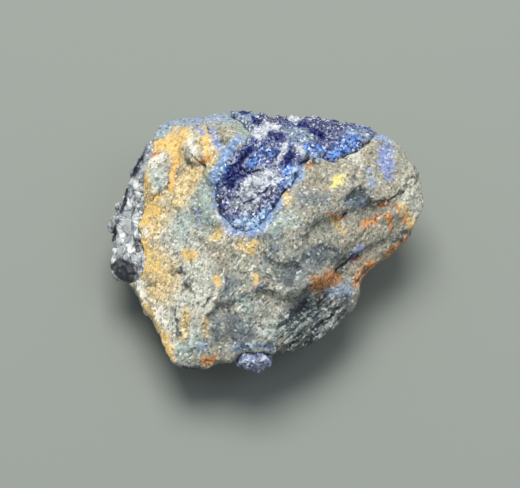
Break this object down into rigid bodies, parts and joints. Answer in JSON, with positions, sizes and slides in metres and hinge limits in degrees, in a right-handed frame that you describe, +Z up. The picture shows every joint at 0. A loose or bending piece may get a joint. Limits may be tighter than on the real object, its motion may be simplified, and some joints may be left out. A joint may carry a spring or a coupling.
{
  "type": "azurite specimen",
  "caption": "Hand-sized lump of weathered host rock with a blue azurite crystal druse in a pocket on its back edge, a glassy azurite slab on its left flank and a blue knob under its front edge.",
  "frame": {"origin": "on the flat break that the lump rests on, under the middle of its box", "axes": "+X to the right of the display side, +Y to its back edge, +Z up"},
  "size_m": [0.0574, 0.049, 0.0282],
  "materials": {
    "host_rock": "rough weathered stone, grey-green to tan, stained ochre, rust and pale green, with specks and films of azurite blue",
    "azurite_druse": "glassy deep blue crystals, near black in the hollows, bright blue on thin edges",
    "azurite_slab": "dark blue-grey, glassy broken face",
    "azurite_knob": "lavender blue, part powdery"
  },
  "bodies": {
    "root": {"host_rock": "host_rock", "azurite_druse": "azurite_druse", "azurite_slab": "azurite_slab", "azurite_knob": "azurite_knob"}
  },
  "joints": []
}
